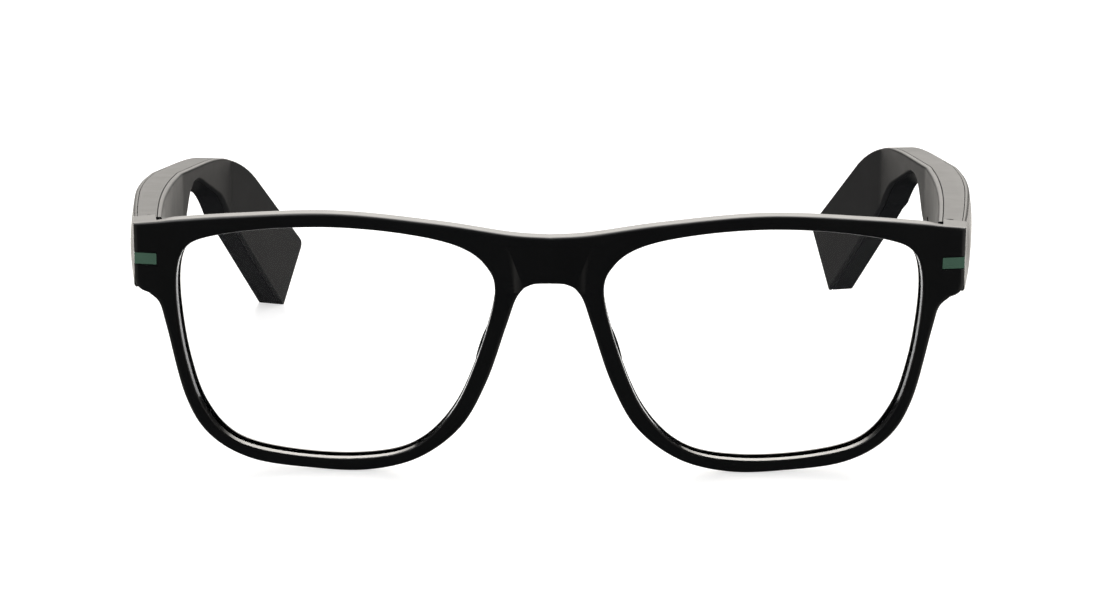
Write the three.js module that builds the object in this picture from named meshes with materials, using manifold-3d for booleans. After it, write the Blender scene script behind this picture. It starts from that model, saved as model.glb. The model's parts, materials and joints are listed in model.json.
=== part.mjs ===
// Smart glasses: a full-rim plastic front with two self-contained audio temples that fold on pin hinges.
// Millimetres. The front faces -Y, the temples run back along +Y, +Z is up and the glasses stand on z = 0.
// "left" is the -X side and "right" is the +X side.
import * as THREE from 'three';
import { mergeVertices } from 'three/addons/utils/BufferGeometryUtils.js';
import { ConvexGeometry } from 'three/addons/geometries/ConvexGeometry.js';
import Module from 'manifold-3d';

const wasm = await Module();
wasm.setup();

// ---- driving dimensions: the front ----
const FRONT_RADIUS = 480;      // radius of the front's wrap around the face
const FRONT_TILT = rad(5);     // the lower rims lean back towards the cheeks
const FRONT_HEIGHT = 47.5;     // lower rim to the top of the brow
const FRONT_THICK = 3.8;
const FRONT_EDGE = 0.45;       // small chamfer along every edge of the front
const END_HALF = 73.4;         // half width of the front, along its curve
const END_INNER = 69.2;        // inner side of the endpiece block
const END_DEEP = 11;           // depth of the endpiece block, before the joint is cut
const END_LOW = 31.7;          // underside of the endpiece
const END_FLARE = 0.115;       // sideways lean of the endpiece towards the temple
const END_DROP = rad(4.3);     // the endpiece runs down towards the temple
const END_TOP = 44.45;         // height of the endpiece's top at its corner
const GROOVE_FRONT = 1.5;      // lens groove, measured back from the front face
const GROOVE_WIDE = 1.7;
const GROOVE_DEEP = 0.7;
const LENS_THICK = 1.5;
const LENS_SEAT = 0.55;        // how far the lens edge reaches into the groove
const INLAY_LOW = 37.0;
const INLAY_TALL = 2.1;
const INLAY_LONG = 4.0;
const INLAY_DEEP = 0.5;
const GAP = 0.12;              // clearance between pieces that are fitted together

// ---- driving dimensions: the temples ----
const HINGE_X = 67.9;          // hinge axis, out from the middle
const HINGE_Y = 14.6;          // hinge axis and joint, back from the bridge
const HINGE_Z = 38;            // middle of the hinge
// the arms run down towards the ears; the right one is worn a little out of line, raised and splayed
const ARM_DROP = { left: rad(4.3), right: rad(2.55) };
const ARM_SPLAY = { left: 0, right: rad(1.4) };
const ARM_TOP = 6.0;           // top of the arm above the hinge axis's middle
const JOINT_AT = 1.45;         // the joint's place along the arm's plan and outline
const ARM_LAYERS = 6;          // nominal thickness that the layers below are measured in
const COVER_THICK = 1.0;       // inner cover
const SHELL_START = 1.1;
const CAVITY_FLOOR = 4.3;
const PANEL_START = 5.25;      // outer panel, to the outer face
const PANEL_END = 74;          // the panel stops before the thin neck
const PANEL_CROWN = 0.65;      // the outer panel bulges by this much
const PANEL_MIDDLE = -0.6;     // height at which it bulges most
const PANEL_HALF = 6.6;
const WALL = 1.0;
const ARM_CHAMFER = 0.5;
const TIP_SLOPE = rad(37.5);
const TIP_WIDE = 15.6;
const TIP_TOP = [138.2, -16.7];      // upper rear corner of the tip
const TIP_ROUND = 1.8;               // start of the rounding at that corner
const SOLID_FRONT = 11;              // the shell is solid for the hinge screws up to here
// plan of the arm: [distance along, inner face out from the middle, thickness]
const ARM_PLAN = [
  [0, 68.8, 5.0],
  [14, 69.9, 5.3],
  [28, 70.8, 5.65],
  [42, 71.3, 6.2],
  [55, 71.4, 6.4],
  [67, 71.1, 6.2],
  [104, 64.5, 5.8],
  [140, 49.75, 5.8],
];

// ---- driving dimensions: the hinge ----
const PIN_R = 0.55;
const BARREL_R = 1.3;
const BORE_R = 0.7;
const BARREL_ROOM = 1.6;
const MID_KNUCKLE = 1.45;      // half length of the temple's knuckle
const END_KNUCKLE = [1.6, 4.4];
const JOINT_GAP = 0.15;        // each side of the joint plane
const LEAF_END = 10;           // rear end of the temple's hinge plate
const LEAF_SCREW_AT = 7.8;
const LEAF_SCREWS = [-2.1, 2.1];     // heights of the two screws

// ---- driving dimensions: what is in the temples, in (along the arm, height above the hinge) ----
const TOP_RECESS = { behind: 2.1, depth: 2.35, radius: 1.1, deep: 0.9 };    // round, just behind the joint
const GRILLE = { at: [58, -4.2], long: 9, tall: 2.6 };
const CONTACTS = [[49.5, -3.2], [45, -3.2]];   // charging contacts, the rear one first
const STATUS_LIGHT = [27, 2.6];
// the circuit board is flat: it lies along a chord of the curved arm, and carries its parts on its inner face
const BOARD = { from: 15, to: 49, height: -0.1, depth: 3.35, tall: 9.4, thick: 0.8 };
const BUTTON = { at: 24, long: 5.6, wide: 1.9, depth: 2.8 };
const ROCKER = { at: 37, long: 11, wide: 1.9, depth: 2.8 };
const KEY_FACE = -7.7;         // the keys stand just proud of the underside
const KEY_TALL = 1.9;
const KEY_FLANGE = 0.35;       // thickness of the flange that holds a key in
const SWITCH_AT = -4.9;
const ROCKER_ARM = 3.6;        // from the rocker's middle to each of its switches

function rad(degrees) {
  return THREE.MathUtils.degToRad(degrees);
}

// ---- solids ----
function toSolid(geometry) {
  const bare = geometry.clone();
  bare.deleteAttribute('normal');
  bare.deleteAttribute('uv');
  const merged = mergeVertices(bare, 1e-4);
  const vertProperties = new Float32Array(merged.attributes.position.array);
  const triVerts = new Uint32Array(merged.index.array);
  return new wasm.Manifold(new wasm.Mesh({ numProp: 3, vertProperties, triVerts }));
}

function toGeometry(solid) {
  const mesh = solid.getMesh();
  const geometry = new THREE.BufferGeometry();
  geometry.setAttribute('position', new THREE.BufferAttribute(new Float32Array(mesh.vertProperties), 3));
  geometry.setIndex(new THREE.BufferAttribute(new Uint32Array(mesh.triVerts), 1));
  return geometry;
}

function slab(low, high) {
  const box = new THREE.BoxGeometry(high[0] - low[0], high[1] - low[1], high[2] - low[2]);
  box.translate((low[0] + high[0]) / 2, (low[1] + high[1]) / 2, (low[2] + high[2]) / 2);
  return toSolid(box);
}

// a round bar from one point to another
function bar(from, to, radius, sides = 14) {
  const start = new THREE.Vector3(...from);
  const along = new THREE.Vector3(...to).sub(start);
  const rod = new THREE.CylinderGeometry(radius, radius, along.length(), sides);
  rod.translate(0, along.length() / 2, 0);
  rod.applyQuaternion(new THREE.Quaternion().setFromUnitVectors(new THREE.Vector3(0, 1, 0), along.normalize()));
  rod.translate(start.x, start.y, start.z);
  return toSolid(rod);
}

// a flat outline raised from one height to another, with an optional chamfer that stays inside the outline
function raise(points, low, high, chamfer = 0, holes = []) {
  const shape = new THREE.Shape(points);
  shape.holes = holes.map((hole) => new THREE.Path(hole));
  const body = new THREE.ExtrudeGeometry(shape, {
    depth: high - low - 2 * chamfer,
    bevelEnabled: chamfer > 0,
    bevelThickness: chamfer,
    bevelSize: chamfer,
    bevelOffset: -chamfer,
    bevelSegments: 1,
    curveSegments: 1,
  });
  body.translate(0, 0, low + chamfer);
  return toSolid(body);
}

function pill(centre, length, width, sides = 4) {
  const half = (length - width) / 2;
  const shape = new THREE.Shape();
  shape.absarc(centre[0] + half, centre[1], width / 2, -Math.PI / 2, Math.PI / 2);
  shape.absarc(centre[0] - half, centre[1], width / 2, Math.PI / 2, Math.PI * 1.5);
  return dropRepeats(shape.getPoints(sides));
}

function dropRepeats(points) {
  return points.filter((point, i) => point.distanceTo(points[(i + 1) % points.length]) > 1e-3);
}

// moves an anticlockwise closed outline inwards by a distance
function inset(points, distance) {
  return points.map((point, i) => {
    const before = points[(i + points.length - 1) % points.length];
    const after = points[(i + 1) % points.length];
    const first = point.clone().sub(before).normalize();
    const second = after.clone().sub(point).normalize();
    const inward = new THREE.Vector2(-first.y - second.y, first.x + second.x).normalize();
    const spread = inward.dot(new THREE.Vector2(-first.y, first.x));
    return point.clone().addScaledVector(inward, distance / spread);
  });
}

// splits every triangle that crosses a plane, so that a long flat face can bend there
function splitAt(geometry, axis, value) {
  const points = [];
  const source = geometry.attributes.position;
  for (let i = 0; i < source.count; i += 1) {
    points.push([source.getX(i), source.getY(i), source.getZ(i)]);
  }
  const side = points.map((point) => (Math.abs(point[axis] - value) < 1e-4 ? 0 : Math.sign(point[axis] - value)));
  const made = new Map();
  const crossing = (a, b) => {
    const key = a < b ? `${a}_${b}` : `${b}_${a}`;
    if (!made.has(key)) {
      const share = (value - points[a][axis]) / (points[b][axis] - points[a][axis]);
      made.set(key, points.length);
      points.push(points[a].map((coordinate, k) => coordinate + share * (points[b][k] - coordinate)));
    }
    return made.get(key);
  };
  const triangles = [];
  const index = geometry.index.array;
  for (let i = 0; i < index.length; i += 3) {
    let [a, b, c] = [index[i], index[i + 1], index[i + 2]];
    const sides = [side[a], side[b], side[c]];
    if (!sides.includes(1) || !sides.includes(-1)) {
      triangles.push(a, b, c);
      continue;
    }
    if (sides.includes(0)) {
      while (side[a] !== 0) [a, b, c] = [b, c, a];
      const cut = crossing(b, c);
      triangles.push(a, b, cut, a, cut, c);
      continue;
    }
    while (side[b] !== side[c]) [a, b, c] = [b, c, a];
    const first = crossing(a, b);
    const last = crossing(a, c);
    triangles.push(a, first, last, first, b, c, first, c, last);
  }
  const result = new THREE.BufferGeometry();
  result.setAttribute('position', new THREE.BufferAttribute(new Float32Array(points.flat()), 3));
  result.setIndex(new THREE.BufferAttribute(new Uint32Array(triangles), 1));
  return result;
}

function bend(solid, cuts, move) {
  let geometry = toGeometry(solid);
  for (const [axis, value] of cuts) {
    geometry = splitAt(geometry, axis, value);
  }
  const position = geometry.attributes.position;
  for (let i = 0; i < position.count; i += 1) {
    const moved = move(position.getX(i), position.getY(i), position.getZ(i));
    position.setXYZ(i, moved.x, moved.y, moved.z);
  }
  return geometry;
}

// swaps the two sides of every triangle, after a move that turned the piece inside out
function turnedOver(geometry) {
  const index = geometry.index.array;
  for (let i = 0; i < index.length; i += 3) {
    [index[i + 1], index[i + 2]] = [index[i + 2], index[i + 1]];
  }
  return geometry;
}

function mirrored(geometry) {
  return turnedOver(geometry.clone().scale(-1, 1, 1));
}

// ---- materials ----
function finish(color, roughness, metalness = 0, opacity = 1) {
  return new THREE.MeshStandardMaterial({ color, roughness, metalness, opacity, transparent: opacity < 1 });
}

const frameBlack = finish(0x111213, 0.42);
const templeGrey = finish(0x2b2c2e, 0.6);
const coverGrey = finish(0x35363a, 0.65);
const panelGrey = finish(0x232426, 0.45);
const inlayGreen = finish(0x46624f, 0.4);
const lensClear = finish(0xf4f8fa, 0.05, 0, 0.2);
const padRubber = finish(0x1b1c1d, 0.7);
const steel = finish(0xb9bbbe, 0.3, 1);
const gold = finish(0xcaa45a, 0.3, 1);
const cellBlue = finish(0x3c4a63, 0.5);
const boardGreen = finish(0x1f4b38, 0.55);
const chipBlack = finish(0x161718, 0.5);
const flexAmber = finish(0xb5772a, 0.5);
const lightWhite = finish(0xe9efe9, 0.4);

// ---- the front: outlines in (along the curve, height) ----
const openingKnots = [
  [65.8, 29], [65.8, 36], [64.2, 40.3], [60, 42.5], [50, 44.3], [38, 45], [26, 44.2], [16.5, 42.2], [11.4, 38.8],
  [9.6, 33.5], [12.3, 22.5], [17, 11.6], [24, 4.6], [34, 2.3], [47, 2.7], [56.3, 5.1], [61.6, 11], [64.4, 19.5],
];
const browKnots = [[0, 43.8], [7, 44.25], [20, 46.1], [38, 47.5], [56, 46.4], [END_HALF, END_TOP]];
const endpieceCorner = [[END_HALF, 34.4], [73.1, 33.1], [72.2, 32.2]];
const rimKnots = [
  [70.9, END_LOW], [69.2, 29.9], [68, 25.5], [64.9, 12.8], [60.6, 5.6], [53, 1.4], [42, 0.1], [32, 0.1],
  [23, 2.6], [15.6, 8.5], [11, 17], [7.6, 27.2], [5.6, 32.9], [3.2, 34.9], [0, 35.2],
];

function spline(knots, divisions, closed = false) {
  const points = knots.map(([x, y]) => new THREE.Vector3(x, y, 0));
  const curve = new THREE.CatmullRomCurve3(points, closed, 'catmullrom', 0.5);
  const count = (closed ? knots.length : knots.length - 1) * divisions;
  return curve.getPoints(count).map((point) => new THREE.Vector2(point.x, point.y));
}

function opening(grow = 0) {
  return inset(dropRepeats(spline(openingKnots, 2, true)), -grow);
}

function frontOutline() {
  const brow = spline(browKnots, 4);
  const corner = endpieceCorner.map(([x, y]) => new THREE.Vector2(x, y));
  const rim = spline(rimKnots, 2);
  const half = [...brow, ...corner, ...rim];
  const other = half.slice(1, -1).reverse().map((point) => new THREE.Vector2(-point.x, point.y));
  return dropRepeats([...half, ...other]).reverse();
}

// 0 below the low limit, 1 above the high limit and a smooth step between them
function blend(value, low, high) {
  return THREE.MathUtils.smoothstep(value, low, high);
}

// the place of a point of the front: along its curve, its height, and its depth behind the front face
function frontPlace(along, height, depth) {
  const turn = along / FRONT_RADIUS;
  const tilted = (x, back, up) => new THREE.Vector3(
    x,
    back * Math.cos(FRONT_TILT) + (FRONT_HEIGHT - up) * Math.sin(FRONT_TILT),
    back * Math.sin(FRONT_TILT) + up * Math.cos(FRONT_TILT),
  );
  const face = tilted(FRONT_RADIUS * Math.sin(turn), FRONT_RADIUS * (1 - Math.cos(turn)), height);
  const inner = FRONT_RADIUS - 1;
  const behind = tilted(inner * Math.sin(turn), FRONT_RADIUS - inner * Math.cos(turn), height);
  const square = behind.sub(face);
  const towardsArm = new THREE.Vector3(Math.sign(along) * END_FLARE, 1, -Math.tan(END_DROP));
  const share = blend(Math.abs(along), 66.5, 69) * blend(height, 29, 32);
  return face.add(square.lerp(towardsArm, share).multiplyScalar(depth));
}

const bendFront = (solid, cuts) => turnedOver(bend(solid, cuts, frontPlace));
const frontCuts = [
  ...[-54, -36, -18, 0, 18, 36, 54].map((value) => [0, value]),
  ...[66.5, 67.8, 69].flatMap((value) => [[0, value], [0, -value]]),
  [1, 29],
  [1, 32],
];

// the sunken middle of the bridge, shallow at the brow and deep at the lower edge
function bridgeRecess() {
  const corners = [
    [-7.4, 42.4, 0], [7.4, 42.4, 0],
    [-6.4, 33.6, 0], [6.4, 33.6, 0],
    [-4.1, 33.6, 1.1], [4.1, 33.6, 1.1],
    [-4.6, 34.4, 1.1], [4.6, 34.4, 1.1],
    [-7.4, 42.4, -1], [7.4, 42.4, -1], [-6.4, 33.6, -1], [6.4, 33.6, -1],
  ];
  return toSolid(new ConvexGeometry(corners.map((corner) => new THREE.Vector3(...corner))));
}

function endpieceBlock(sign) {
  const corner = endpieceCorner.map(([x, y]) => new THREE.Vector2(x * sign, y));
  const outline = [
    new THREE.Vector2(sign * END_INNER, END_TOP + 0.05),
    new THREE.Vector2(sign * END_HALF, END_TOP),
    ...corner,
    new THREE.Vector2(sign * 70.9, END_LOW),
    new THREE.Vector2(sign * END_INNER, END_LOW),
  ];
  const turned = sign > 0 ? outline.reverse() : outline;
  return raise(turned, FRONT_EDGE, END_DEEP);
}

function lensGroove(sign) {
  const points = opening(GROOVE_DEEP).map((point) => new THREE.Vector2(point.x * sign, point.y));
  return raise(sign > 0 ? points : points.reverse(), GROOVE_FRONT, GROOVE_FRONT + GROOVE_WIDE);
}

function inlayRoom(sign, grow) {
  const low = [sign * (END_HALF - INLAY_LONG - grow), INLAY_LOW - grow, -1];
  const high = [sign * (END_HALF + 1), INLAY_LOW + INLAY_TALL + grow, INLAY_DEEP + grow];
  const sideLow = [sign * (END_HALF - INLAY_DEEP - grow), INLAY_LOW - grow, -1];
  const sideHigh = [sign * (END_HALF + 1), INLAY_LOW + INLAY_TALL + grow, END_DEEP + 0.1];
  return sortedSlab(low, high).add(sortedSlab(sideLow, sideHigh));
}

function sortedSlab(a, b) {
  return slab(a.map((value, i) => Math.min(value, b[i])), a.map((value, i) => Math.max(value, b[i])));
}

// everything in the arm's own frame: x out from the hinge axis, y back along the arm, z up, right-hand side
function armFrame(sign) {
  const side = sign > 0 ? 'right' : 'left';
  const frame = new THREE.Group();
  frame.position.set(sign * HINGE_X, HINGE_Y, HINGE_Z);
  frame.rotation.set(-ARM_DROP[side], 0, -sign * ARM_SPLAY[side], 'ZYX');
  frame.updateMatrixWorld();
  return frame;
}

function placed(solid, sign) {
  const geometry = sign > 0 ? toGeometry(solid) : mirrored(toGeometry(solid));
  return toSolid(geometry.applyMatrix4(armFrame(sign).matrixWorld));
}

// what the hinge and the joint take out of the endpiece
function hingeRoom() {
  const behindJoint = slab([-20, -JOINT_GAP, -20], [20, 20, 20]);
  const barrel = bar([0, 0, -5], [0, 0, 5], BARREL_ROOM, 20);
  const leaf = slab([-2, -4, -5], [2.0, 1, 5]);
  const stud = bar([1.5, -2.8, 0], [4.9, -2.8, 0], 1.0);
  const corner = new THREE.Shape([[-1, 1], [-1, -3.2], [0.9, -3.2], [2.0, 0.5], [2.0, 1]].map(([x, y]) => (
    new THREE.Vector2(x, y)
  )));
  const chamfer = new THREE.ExtrudeGeometry(corner, { depth: 20, bevelEnabled: false });
  chamfer.translate(0, 0, -10);
  return behindJoint.add(barrel).add(leaf).add(stud).add(toSolid(chamfer));
}

function frontFrame() {
  const left = opening().map((point) => new THREE.Vector2(-point.x, point.y)).reverse();
  let flat = raise(frontOutline(), 0, FRONT_THICK, FRONT_EDGE, [opening(), left]);
  for (const sign of [-1, 1]) {
    flat = flat.add(endpieceBlock(sign));
    flat = flat.subtract(lensGroove(sign));
    flat = flat.subtract(inlayRoom(sign, GAP));
  }
  flat = flat.subtract(bridgeRecess());
  let frame = toSolid(bendFront(flat, frontCuts));
  for (const sign of [-1, 1]) {
    frame = frame.subtract(placed(hingeRoom(), sign));
  }
  return toGeometry(frame);
}

function lens(sign) {
  const points = opening(LENS_SEAT).map((point) => new THREE.Vector2(point.x * sign, point.y));
  const start = GROOVE_FRONT + (GROOVE_WIDE - LENS_THICK) / 2;
  const flat = raise(sign > 0 ? points : points.reverse(), start, start + LENS_THICK);
  return bendFront(flat, frontCuts.slice(0, 7));
}

function inlay(sign) {
  const front = sortedSlab(
    [sign * (END_HALF - INLAY_LONG), INLAY_LOW, 0.02],
    [sign * (END_HALF - 0.02), INLAY_LOW + INLAY_TALL, INLAY_DEEP],
  );
  const side = sortedSlab(
    [sign * (END_HALF - INLAY_DEEP), INLAY_LOW, 0.02],
    [sign * (END_HALF - 0.02), INLAY_LOW + INLAY_TALL, END_DEEP],
  );
  const bent = toSolid(bendFront(front.add(side), []));
  return toGeometry(bent.subtract(placed(slab([-20, -JOINT_GAP - 0.1, -20], [20, 20, 20]), sign)));
}

// a soft fin behind the nose side of the rim
function nosePad(sign) {
  const dome = new THREE.SphereGeometry(1, 14, 10);
  dome.scale(1.55, 6.2, 4.6);
  const half = toSolid(dome).intersect(slab([-3, -8, 0.001], [3, 8, 6]));
  const geometry = toGeometry(half);
  geometry.rotateZ(rad(18));
  geometry.translate(10.9, 22.5, FRONT_THICK + GAP);
  const shaped = sign > 0 ? geometry : mirrored(geometry);
  return bendFront(toSolid(shaped), []);
}

const frameGeometry = frontFrame();
frameGeometry.computeBoundingBox();
const floorLevel = frameGeometry.boundingBox.min.z;

// ---- the temple: outline in (along the arm, height above the hinge) ----
function templeOutline() {
  const along = [Math.cos(TIP_SLOPE), -Math.sin(TIP_SLOPE)];
  const across = [-Math.sin(TIP_SLOPE), -Math.cos(TIP_SLOPE)];
  const tip = (back, down) => [
    TIP_TOP[0] + along[0] * back + across[0] * down,
    TIP_TOP[1] + along[1] * back + across[1] * down,
  ];
  const shape = new THREE.Shape();
  const start = JOINT_AT + JOINT_GAP;
  shape.moveTo(start, -6.3);
  shape.lineTo(start, ARM_TOP);
  shape.lineTo(82, ARM_TOP);
  shape.bezierCurveTo(98, ARM_TOP, 107.8, 5, 116, -0.5);
  shape.lineTo(...tip(-TIP_ROUND, 0));
  shape.quadraticCurveTo(...tip(0, 0), ...tip(0, TIP_ROUND));
  shape.lineTo(...tip(0, TIP_WIDE));
  shape.lineTo(108, -10.9);
  shape.bezierCurveTo(104.5, -7.7, 101, -3.9, 96, -1.7);
  shape.lineTo(84, 2.1);
  shape.bezierCurveTo(79.5, 3.7, 75.6, 4.4, 72.6, 0.6);
  shape.bezierCurveTo(70.2, -2.6, 69.5, -7.3, 60, -7.3);
  shape.lineTo(12, -7.6);
  shape.quadraticCurveTo(5, -7.4, start, -6.3);
  return dropRepeats(shape.getPoints(5)).reverse();
}

const stations = [];
for (const [back, out, thick] of ARM_PLAN) {
  const inner = new THREE.Vector2(out - HINGE_X, back - JOINT_AT);
  const before = stations.at(-1);
  const length = before ? before.length + inner.distanceTo(before.inner) : 0;
  stations.push({ inner, thick, length });
}
stations.forEach((station, i) => {
  const before = stations[Math.max(i - 1, 0)];
  const after = stations[Math.min(i + 1, stations.length - 1)];
  const first = station.inner.clone().sub(before.inner).normalize();
  const second = after.inner.clone().sub(station.inner).normalize();
  // the first end is cut square to the joint, the last one square to the arm
  const along = i > 0 ? first.add(second).normalize() : new THREE.Vector2(0, 1);
  const mitre = second.length() && i > 0 ? along.dot(second) : 1;
  station.outer = station.inner.clone().add(new THREE.Vector2(along.y, -along.x).multiplyScalar(station.thick / mitre));
});

// how far the outer panel bulges at a place: most along its middle, and not at all at its edges and ends
function panelCrown(along, height) {
  const ends = blend(along, JOINT_AT, 14) * (1 - blend(along, 60, PANEL_END));
  return PANEL_CROWN * ends * Math.max(0, 1 - ((height - PANEL_MIDDLE) / PANEL_HALF) ** 2);
}

// the place of a point of the temple: along the arm, its height, and its depth from the inner face
function armPlace(along, height, depth) {
  let i = 0;
  while (i < stations.length - 2 && along > stations[i + 1].length) i += 1;
  const share = (along - stations[i].length) / (stations[i + 1].length - stations[i].length);
  const inner = stations[i].inner.clone().lerp(stations[i + 1].inner, share);
  const outer = stations[i].outer.clone().lerp(stations[i + 1].outer, share);
  const crown = panelCrown(along, height) * Math.max(0, (depth - PANEL_START) / (ARM_LAYERS - PANEL_START));
  const outward = outer.clone().sub(inner).setLength(crown);
  const point = inner.lerp(outer, depth / ARM_LAYERS).add(outward);
  return new THREE.Vector3(point.x, point.y, height);
}

const armCuts = stations.slice(1, -1).map((station) => [0, station.length]);
const bendArm = (solid) => bend(solid, armCuts, armPlace);
const outline = templeOutline();
const whole = raise(outline, 0, ARM_LAYERS, ARM_CHAMFER);

// everything under the level that the lower rims stand on, in the frame of an unmirrored arm
function underFloor(sign) {
  const below = new THREE.BoxGeometry(300, 80, 10).translate(0, 120, floorLevel - 5);
  const inArm = toSolid(below.applyMatrix4(armFrame(sign).matrixWorld.clone().invert()));
  return sign > 0 ? inArm : toSolid(mirrored(toGeometry(inArm)));
}

function templeShell(sign, extra) {
  const room = inset(outline, WALL);
  const cavity = raise(room, 0, CAVITY_FLOOR).intersect(slab([SOLID_FRONT, -40, 0], [150, 20, 6]));
  const panelSide = slab([-1, -40, PANEL_START - 0.1], [PANEL_END + 0.1, 20, 9]);
  const micPort = bar([17, -9, 3.4], [17, -5, 3.4], 0.4, 8);
  const recessAt = JOINT_AT + TOP_RECESS.behind;
  const recess = bar(
    [recessAt, ARM_TOP - TOP_RECESS.deep, TOP_RECESS.depth],
    [recessAt, ARM_TOP + 1, TOP_RECESS.depth],
    TOP_RECESS.radius,
    16,
  );
  let shell = whole.subtract(slab([-1, -40, -1], [150, 20, SHELL_START]));
  shell = shell.subtract(cavity).subtract(panelSide).subtract(micPort).subtract(recess);
  for (const z of LEAF_SCREWS) {
    shell = shell.subtract(bar([LEAF_SCREW_AT, z, 0], [LEAF_SCREW_AT, z, 4.2], 0.6, 12));
  }
  for (const cut of extra) {
    shell = shell.subtract(cut);
  }
  return toGeometry(toSolid(bendArm(shell)).subtract(underFloor(sign)));
}

function tipPoint(forward) {
  const middle = TIP_WIDE / 2;
  return [
    TIP_TOP[0] - Math.cos(TIP_SLOPE) * forward - Math.sin(TIP_SLOPE) * middle,
    TIP_TOP[1] + Math.sin(TIP_SLOPE) * forward - Math.cos(TIP_SLOPE) * middle,
  ];
}

function innerCover(sign) {
  let cover = whole.intersect(slab([-1, -40, -1], [150, 20, COVER_THICK]));
  cover = cover.subtract(slab([-1, -3.7, -1], [LEAF_END + 0.2, 3.7, 2]));
  cover = cover.subtract(raise(pill(GRILLE.at, GRILLE.long + 2 * GAP, GRILLE.tall + 2 * GAP), -1, 2));
  for (const [x, y] of CONTACTS) {
    cover = cover.subtract(bar([x, y, -1], [x, y, 2], 1.35));
  }
  if (sign > 0) {
    const [x, y] = STATUS_LIGHT;
    cover = cover.subtract(bar([x, y, -1], [x, y, 2], 0.75, 12));
  }
  const bent = toSolid(bendArm(cover)).subtract(bar([0, 0, -5], [0, 0, 5], BARREL_ROOM, 20));
  return toGeometry(bent.subtract(underFloor(sign)));
}

function outerPanel() {
  const flat = whole.intersect(slab([-1, -40, PANEL_START], [PANEL_END, 20, 9]));
  const crownCuts = [-4.6, -2.2, 0.6, 3, 4.8].map((height) => [1, height]);
  return bend(flat, [...armCuts, ...crownCuts], armPlace);
}

function templeLeaf() {
  let plate = slab([JOINT_AT + 1.75, -3.5, 0.1], [LEAF_END, 3.5, 0.95]);
  for (const z of LEAF_SCREWS) {
    plate = plate.subtract(bar([LEAF_SCREW_AT, z, -1], [LEAF_SCREW_AT, z, 2], 0.6, 12));
    plate = plate.subtract(bar([LEAF_SCREW_AT, z, -1], [LEAF_SCREW_AT, z, 0.5], 1.15, 16));
  }
  const knuckle = bar([0, 0, -MID_KNUCKLE], [0, 0, MID_KNUCKLE], BARREL_R, 20);
  const arm = slab([0.3, 0, -MID_KNUCKLE], [1.5, 2.4, MID_KNUCKLE]);
  const leaf = toSolid(bendArm(plate)).add(knuckle).add(arm);
  return toGeometry(leaf.subtract(bar([0, 0, -6], [0, 0, 6], BORE_R)));
}

function leafScrew(height) {
  const head = bar([LEAF_SCREW_AT, height, 0.12], [LEAF_SCREW_AT, height, 0.45], 0.95, 14);
  const shank = bar([LEAF_SCREW_AT, height, 0.4], [LEAF_SCREW_AT, height, 3.6], 0.42, 10);
  return bendArm(head.add(shank));
}

function frontLeaf() {
  const plate = slab([1.05, -3.8, -4.6], [1.9, -1.75, 4.6]);
  const stud = bar([1.5, -2.8, 0], [4.6, -2.8, 0], 0.8, 12);
  let leaf = plate.add(stud);
  for (const sign of [-1, 1]) {
    const [near, far] = END_KNUCKLE.map((value) => value * sign);
    leaf = leaf.add(bar([0, 0, near], [0, 0, far], BARREL_R, 20));
    leaf = leaf.add(sortedSlab([0.3, -2, near], [1.6, 0, far]));
  }
  return toGeometry(leaf.subtract(bar([0, 0, -6], [0, 0, 6], BORE_R)));
}

function hingePin() {
  const shank = bar([0, 0, -4.7], [0, 0, 4.8], PIN_R);
  return toGeometry(shank.add(bar([0, 0, 4.55], [0, 0, 5.1], 1.0)));
}

// a straight piece laid in the arm between two distances along it
function laid(solid, from, to, height, depth) {
  const start = armPlace(from, height, depth);
  const end = armPlace(to, height, depth);
  const along = end.clone().sub(start).normalize();
  const up = new THREE.Vector3(0, 0, 1);
  const outward = along.clone().cross(up);
  const basis = new THREE.Matrix4().makeBasis(along, up, outward);
  basis.setPosition(start.add(end).multiplyScalar(0.5));
  return toGeometry(solid).applyMatrix4(basis);
}

function roundedPlate(long, tall, thick, radius) {
  const points = [];
  for (const [x, y, turn] of [[1, -1, -90], [1, 1, 0], [-1, 1, 90], [-1, -1, 180]]) {
    for (const step of [0, 45, 90]) {
      const angle = rad(turn + step);
      points.push(new THREE.Vector2(
        x * (long / 2 - radius) + radius * Math.cos(angle),
        y * (tall / 2 - radius) + radius * Math.sin(angle),
      ));
    }
  }
  return raise(points, -thick / 2, thick / 2);
}

function circuitBoard() {
  const long = BOARD.to - BOARD.from;
  const notch = bar([2 - long / 2, 3, -1], [2 - long / 2, 3, 1], 0.6, 10);
  const board = roundedPlate(long, BOARD.tall, BOARD.thick, 0.8).subtract(notch);
  return laid(board, BOARD.from, BOARD.to, BOARD.height, BOARD.depth);
}

function onBoard(solid, along, height, thick) {
  const geometry = toGeometry(solid);
  const middleOfBoard = (BOARD.from + BOARD.to) / 2;
  const proud = (BOARD.thick + thick) / 2 + GAP;
  geometry.translate(along - middleOfBoard, height - BOARD.height, -proud);
  return laid(toSolid(geometry), BOARD.from, BOARD.to, BOARD.height, BOARD.depth);
}

function shieldCan() {
  return onBoard(roundedPlate(11, 6.4, 1.0, 0.6), 27, 1.2, 1.0);
}

function microphone() {
  const body = roundedPlate(3.4, 2.6, 0.9, 0.3).subtract(bar([0, 0, -1], [0, 0, -0.2], 0.3, 8));
  return onBoard(body, 17.2, -2.9, 0.9);
}

function keySwitch(along) {
  return onBoard(roundedPlate(3, 1.1, 1.1, 0.2), along, SWITCH_AT, 1.1);
}

function speaker() {
  const box = roundedPlate(12, 6.6, 1.8, 1.4);
  const dome = bar([0, 0, -1.2], [0, 0, 0], 2.4, 20);
  const magnet = bar([0, 0, 0], [0, 0, 1.25], 2.6, 20);
  return laid(box.add(dome).add(magnet), 52.2, 64.2, -2.2, 2.75);
}

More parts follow.
